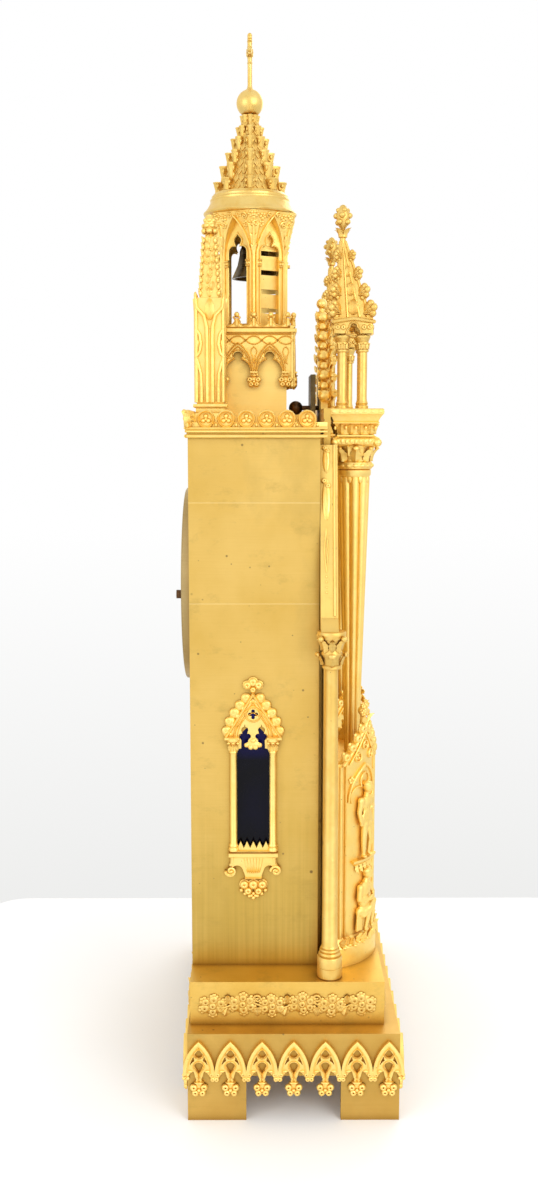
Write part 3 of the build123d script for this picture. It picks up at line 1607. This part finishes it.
def plate_arbor(x, z):
    """Arbor with a thinner pivot at each end, running in both plates."""
    body = rod_along_y(x, z, movement_front_y + end_shake, back_plate_y - end_shake, arbor_radius)
    pivots = rod_along_y(x, z, front_plate_y, back_plate_rear_y, arbor_pivot_radius)
    return body + pivots


def pinion(x, z, wheel_y, thickness, face):
    """Pinion a little longer than the wheel it meets, whose rear face lies at wheel_y."""
    return gear(x, z, wheel_y + pinion_overlap, thickness + 2 * pinion_overlap, face)


# Two round plates drilled for the arbors, with the minute wheel stud and the pendulum cock
plate_pivots = ((third_x, third_z), (0, escape_rise), (pin_x, pin_z))
winding_pivots = ((going_x, going_z), (strike_x, going_z))
cock_top = movement_radius - 2 * pillar_radius
cock_bottom = pallet_rise - suspension_ring_radius
motion_stud = rod_along_y(motion_x, motion_z, front_plate_y - motion_stud_length, front_plate_y, arbor_radius)
stud_rear_y = cock_rear_y + suspension_stud_length
suspension_stud = rod_along_y(0, pallet_rise, cock_rear_y, stud_rear_y, suspension_stud_radius)
with BuildPart() as movement_plates:
    for plate_rear_y in (movement_front_y, back_plate_rear_y):
        with BuildSketch(upright(0, plate_rear_y, dial_z, FRONT)):
            Circle(movement_radius)
            Circle(hour_pipe_bore, mode=Mode.SUBTRACT)
            with Locations(*plate_pivots):
                Circle(arbor_pivot_radius + running_clearance, mode=Mode.SUBTRACT)
            with Locations(*winding_pivots):
                Circle(winding_arbor_radius + running_clearance, mode=Mode.SUBTRACT)
        extrude(amount=movement_plate)
    with BuildSketch(upright(0, movement_front_y, dial_z + pallet_rise, FRONT)):
        Circle(arbor_pivot_radius + running_clearance)
    extrude(amount=movement_plate, mode=Mode.SUBTRACT)
    with BuildSketch(upright(0, back_plate_rear_y, dial_z + pallet_rise, FRONT)):
        Circle(suspension_ring_radius)
    extrude(amount=movement_plate, mode=Mode.SUBTRACT)
    add(motion_stud)
    with BuildSketch(upright(0, cock_rear_y, dial_z, FRONT)):
        with Locations((0, cock_bottom)):
            Rectangle(strap_width, cock_top - cock_bottom, align=(Align.CENTER, Align.MIN))
        with Locations((0, pallet_rise)):
            Circle(arbor_pivot_radius + running_clearance, mode=Mode.SUBTRACT)
    extrude(amount=cock_thickness)
    with BuildSketch(upright(0, cock_rear_y, dial_z + cock_top, FRONT)):
        Rectangle(strap_width, cock_thickness, align=(Align.CENTER, Align.MAX))
    extrude(amount=cock_rear_y - back_plate_rear_y)
    add(suspension_stud)
movement_plates.part.label = "movement_plates"
export_step(movement_plates.part, "parts/movement_plates.step")

# Pillars that hold the plates apart
with BuildPart() as movement_pillars:
    with BuildSketch(upright(0, back_plate_y, dial_z, FRONT)):
        for turn in (pillar_angle, 180 - pillar_angle, 180 + pillar_angle, -pillar_angle):
            with PolarLocations(pillar_circle, 1, start_angle=turn):
                Circle(pillar_radius)
    extrude(amount=movement_plate_gap)
movement_pillars.part.label = "movement_pillars"
export_step(movement_pillars.part, "parts/movement_pillars.step")

# Cranked straps from the back plate of the movement to the back of the case
strap_x = movement_radius - strap_width
strap_rear_y = case_rear_y - case_wall
strap_end_x = door_opening_radius + strap_width
with BuildPart() as movement_straps:
    for side in (-1, 1):
        inner_edge = Align.MIN if side > 0 else Align.MAX
        with Locations((side * strap_x, back_plate_rear_y, dial_z)):
            Box(strap_width, strap_thickness, strap_width, align=(inner_edge, Align.MIN, Align.CENTER))
        with Locations((side * movement_radius, back_plate_rear_y, dial_z)):
            Box(
                strap_thickness,
                strap_rear_y - back_plate_rear_y,
                strap_width,
                align=(inner_edge, Align.MIN, Align.CENTER),
            )
        with Locations((side * movement_radius, strap_rear_y, dial_z)):
            Box(
                strap_end_x - movement_radius,
                strap_thickness,
                strap_width,
                align=(inner_edge, Align.MAX, Align.CENTER),
            )
movement_straps.part.label = "movement_straps"
export_step(movement_straps.part, "parts/movement_straps.step")


def hand_face(length):
    """Face of a pierced hand that points along the second axis from its boss."""
    ring_place = length * hand_ring_share
    with BuildSketch() as face:
        Circle(hand_boss_radius)
        with BuildLine():
            Polyline(
                (-hand_root_width / 2, 0),
                (-hand_root_width / 4, ring_place),
                (hand_root_width / 4, ring_place),
                (hand_root_width / 2, 0),
                close=True,
            )
        make_face()
        with BuildLine():
            Polyline((-hand_ring_radius, ring_place), (0, length), (hand_ring_radius, ring_place), close=True)
        make_face()
        with Locations((0, ring_place)):
            Circle(hand_ring_radius)
            Circle(hand_ring_radius / 2, mode=Mode.SUBTRACT)
    return face.sketch


# Centre arbor with its pinion, centre wheel and cannon pinion
centre_wheel_y = movement_front_y + centre_wheel_layer
going_wheel_y = movement_front_y + going_wheel_layer
cannon_y = front_plate_y - cannon_layer
cannon_length = minute_wheel_layer + wheel_thickness + pinion_overlap - cannon_layer
going_mesh = gear_face(great_pinion_teeth, great_module, barrel_angle)
centre_shaft = rod_along_y(0, 0, arbor_nose_y, back_plate_rear_y, centre_arbor_radius)
centre_pinion = pinion(0, 0, going_wheel_y, great_thickness, going_mesh)
centre_mesh = gear_face(centre_teeth, centre_module, third_angle)
centre_wheel = gear(0, 0, centre_wheel_y, wheel_thickness, centre_mesh)
cannon_pinion = gear(0, 0, cannon_y, cannon_length, gear_face(cannon_teeth, motion_module, motion_angle))
with BuildPart() as centre_arbor:
    add(centre_shaft)
    add(centre_pinion)
    add(centre_wheel)
    add(cannon_pinion)
centre_arbor.part.label = "centre_arbor"
export_step(centre_arbor.part, "parts/centre_arbor.step")

with BuildPart() as minute_hand:
    with BuildSketch(upright(0, minute_hand_y, dial_z, FRONT)):
        add(hand_face(minute_hand_length))
        Circle(centre_arbor_radius, mode=Mode.SUBTRACT)
    extrude(amount=hand_thickness)
minute_hand.part.label = "minute_hand"
export_step(minute_hand.part, "parts/minute_hand.step")

# Minute wheel and its pinion on the stud of the front plate
minute_wheel_y = front_plate_y - minute_wheel_layer
hour_wheel_y = front_plate_y - hour_wheel_layer
minute_pinion_length = minute_wheel_y - hour_wheel_y + wheel_thickness + pinion_overlap
minute_tooth = mesh_turn(motion_angle, minute_wheel_teeth)
minute_mesh = gear_face(minute_wheel_teeth, motion_module, minute_tooth)
hour_mesh = gear_face(minute_pinion_teeth, hour_module, motion_angle + 180)
minute_rim = gear(motion_x, motion_z, minute_wheel_y, wheel_thickness, minute_mesh)
minute_pinion = gear(motion_x, motion_z, minute_wheel_y, minute_pinion_length, hour_mesh)
with BuildPart() as minute_wheel:
    add(minute_rim)
    add(minute_pinion)
    with BuildSketch(upright(motion_x, front_plate_y, dial_z + motion_z, FRONT)):
        Circle(arbor_radius + running_clearance)
    extrude(amount=2 * motion_stud_length, mode=Mode.SUBTRACT)
minute_wheel.part.label = "minute_wheel"
export_step(minute_wheel.part, "parts/minute_wheel.step")

# Hour wheel, its pipe and the hour hand on the pipe, set at ten
hour_tooth = mesh_turn(motion_angle + 180, hour_wheel_teeth)
hour_wheel = gear(0, 0, hour_wheel_y, wheel_thickness, gear_face(hour_wheel_teeth, hour_module, hour_tooth))
hour_pipe = rod_along_y(0, 0, hour_hand_y - hand_thickness, hour_wheel_y, hour_pipe_radius)
with BuildPart() as hour_hand:
    add(hour_wheel)
    add(hour_pipe)
    with BuildSketch(upright(0, hour_hand_y, dial_z, FRONT)):
        with Locations(Location((0, 0), hour_hand_turn)):
            add(hand_face(hour_hand_length))
    extrude(amount=hand_thickness)
    with BuildSketch(upright(0, front_plate_y, dial_z, FRONT)):
        Circle(hour_pipe_bore)
    extrude(amount=front_plate_y - arbor_nose_y, mode=Mode.SUBTRACT)
hour_hand.part.label = "hour_hand"
export_step(hour_hand.part, "parts/hour_hand.step")

# Barrels with their great wheels and winding squares
strike_wheel_y = movement_front_y + strike_wheel_layer
drum_front_y = movement_front_y + drum_layer
square_y = dial_front_y + dial_thickness
going_tooth = mesh_turn(barrel_angle, great_teeth)


def barrel(x, wheel_y, tooth):
    """Spring barrel with its great wheel, whose rear face lies at wheel_y, and a winding square in front."""
    drum = rod_along_y(x, going_z, drum_front_y, wheel_y - great_thickness, barrel_radius)
    wheel = gear(x, going_z, wheel_y, great_thickness, gear_face(great_teeth, great_module, tooth))
    arbor = rod_along_y(x, going_z, square_y, back_plate_rear_y, winding_arbor_radius)
    with BuildPart() as square:
        with BuildSketch(upright(x, square_y, dial_z + going_z, FRONT)):
            Rectangle(winding_square, winding_square)
        extrude(amount=dial_thickness)
    return drum + wheel + arbor + square.part


going_drum = barrel(going_x, going_wheel_y, going_tooth)
with BuildPart() as going_barrel:
    add(going_drum)
going_barrel.part.label = "going_barrel"
export_step(going_barrel.part, "parts/going_barrel.step")

strike_drum = barrel(strike_x, strike_wheel_y, strike_pin_angle)
with BuildPart() as strike_barrel:
    add(strike_drum)
strike_barrel.part.label = "strike_barrel"
export_step(strike_barrel.part, "parts/strike_barrel.step")

# Third wheel with its pinion
third_wheel_y = movement_front_y + third_wheel_layer
third_tooth = mesh_turn(third_angle, third_pinion_teeth)
third_mesh = gear_face(third_pinion_teeth, centre_module, third_tooth)
third_rim_mesh = gear_face(third_teeth, third_module, escape_angle)
third_arbor = plate_arbor(third_x, third_z)
third_pinion = pinion(third_x, third_z, centre_wheel_y, wheel_thickness, third_mesh)
third_rim = gear(third_x, third_z, third_wheel_y, wheel_thickness, third_rim_mesh)
with BuildPart() as third_wheel:
    add(third_arbor)
    add(third_pinion)
    add(third_rim)
third_wheel.part.label = "third_wheel"
export_step(third_wheel.part, "parts/third_wheel.step")

# Escape wheel with pointed teeth and its pinion
escape_wheel_y = movement_front_y + escape_wheel_layer
escape_root = escape_radius - 2 * wheel_thickness
escape_tooth = mesh_turn(escape_angle, escape_pinion_teeth)
escape_corners = []
for tooth in range(escape_teeth):
    tip_angle = 2 * pi * tooth / escape_teeth
    escape_corners.append((escape_radius * cos(tip_angle), escape_radius * sin(tip_angle)))
    root_angle = tip_angle + pi / escape_teeth
    escape_corners.append((escape_root * cos(root_angle), escape_root * sin(root_angle)))
escape_mesh = gear_face(escape_pinion_teeth, third_module, escape_tooth)
escape_arbor = plate_arbor(0, escape_rise)
escape_pinion = pinion(0, escape_rise, third_wheel_y, wheel_thickness, escape_mesh)
with BuildPart() as escape_wheel:
    add(escape_arbor)
    add(escape_pinion)
    with BuildSketch(upright(0, escape_wheel_y, dial_z + escape_rise, FRONT)):
        with BuildLine():
            Polyline(*escape_corners, close=True)
        make_face()
    extrude(amount=wheel_thickness)
escape_wheel.part.label = "escape_wheel"
export_step(escape_wheel.part, "parts/escape_wheel.step")

# Pin wheel of the strike with its pinion and lifting pins
pin_wheel_y = movement_front_y + pin_wheel_layer
pin_tooth = mesh_turn(strike_pin_angle, great_pinion_teeth)
pin_mesh = gear_face(great_pinion_teeth, great_module, pin_tooth)
pin_arbor = plate_arbor(pin_x, pin_z)
pin_pinion = pinion(pin_x, pin_z, strike_wheel_y, great_thickness, pin_mesh)
pin_rim = gear(pin_x, pin_z, pin_wheel_y, wheel_thickness, gear_face(centre_teeth, centre_module, 0))
with BuildPart() as pin_wheel:
    add(pin_arbor)
    add(pin_pinion)
    add(pin_rim)
    with BuildSketch(upright(pin_x, pin_wheel_y, dial_z + pin_z, FRONT)):
        with PolarLocations(lift_pin_circle, lift_pins):
            Circle(lift_pin_radius)
    extrude(amount=wheel_thickness + lift_pin_length)
pin_wheel.part.label = "pin_wheel"
export_step(pin_wheel.part, "parts/pin_wheel.step")

# Anchor with its two pallets, arbor, crutch and fork
pallet_radius = escape_radius + anchor_clearance
pallet_x = pallet_radius * sin(radians(anchor_span))
pallet_drop = escape_rise + pallet_radius * cos(radians(anchor_span)) - pallet_rise
crutch_rear_y = back_plate_rear_y + cock_standoff / 2
fork_rear_y = cock_rear_y + suspension_stud_length - easy_gap
fork_x = pendulum_rod_radius + easy_gap
anchor_arbor = rod_along_y(0, pallet_rise, movement_front_y + end_shake, cock_y - end_shake, arbor_radius)
anchor_pivots = rod_along_y(0, pallet_rise, front_plate_y, cock_rear_y - end_shake, arbor_pivot_radius)
with BuildPart() as anchor:
    add(anchor_arbor)
    add(anchor_pivots)
    with BuildSketch(upright(0, escape_wheel_y, dial_z + pallet_rise, FRONT)):
        Circle(2 * arbor_radius)
        for side in (-1, 1):
            with BuildLine():
                Polyline(
                    (0, arbor_radius),
                    (side * (pallet_x + anchor_arm_width), pallet_drop + anchor_arm_width),
                    (side * pallet_x, pallet_drop),
                    (0, -arbor_radius),
                    close=True,
                )
            make_face()
    extrude(amount=wheel_thickness)
    with BuildSketch(upright(0, crutch_rear_y, dial_z + pallet_rise, FRONT)):
        Circle(2 * arbor_radius)
        Rectangle(2 * arbor_radius, crutch_length, align=(Align.CENTER, Align.MAX))
        with Locations((0, -crutch_length)):
            Rectangle(2 * (fork_x + fork_prong), 2 * fork_prong)
    extrude(amount=crutch_thickness)
    with BuildSketch(upright(0, fork_rear_y, dial_z + pallet_rise - crutch_length, FRONT)):
        for side in (-1, 1):
            with Locations((side * (fork_x + fork_prong / 2), 0)):
                Rectangle(fork_prong, 2 * fork_prong)
    extrude(amount=fork_rear_y - crutch_rear_y)
anchor.part.label = "anchor"
export_step(anchor.part, "parts/anchor.step")

# Pendulum hung on the stud of the cock
pendulum_y = cock_rear_y + suspension_stud_length / 2
pendulum_z = dial_z + pallet_rise
ring_rear_y = pendulum_y + suspension_ring_width / 2
with BuildPart() as pendulum_rod:
    with BuildSketch(upright(0, ring_rear_y, pendulum_z, FRONT)):
        Circle(suspension_ring_radius)
    extrude(amount=suspension_ring_width)
    with Locations((0, pendulum_y, pendulum_z)):
        Cylinder(
            pendulum_rod_radius,
            pendulum_length,
            align=(Align.CENTER, Align.CENTER, Align.MAX),
        )
    with BuildSketch(upright(0, ring_rear_y, pendulum_z, FRONT)):
        Circle(suspension_stud_radius + running_clearance)
    extrude(amount=suspension_ring_width, mode=Mode.SUBTRACT)
pendulum_rod.part.label = "pendulum_rod"
export_step(pendulum_rod.part, "parts/pendulum_rod.step")

bob_rear_y = pendulum_y + pendulum_bob_thickness / 2
with BuildPart() as pendulum_bob:
    with BuildSketch(upright(0, bob_rear_y, pendulum_z - pendulum_length, FRONT)):
        Circle(pendulum_bob_radius)
    extrude(amount=pendulum_bob_thickness)
    with Locations((0, pendulum_y, pendulum_z)):
        Cylinder(
            pendulum_rod_radius,
            pendulum_length,
            align=(Align.CENTER, Align.CENTER, Align.MAX),
            mode=Mode.SUBTRACT,
        )
pendulum_bob.part.label = "pendulum_bob"
export_step(pendulum_bob.part, "parts/pendulum_bob.step")
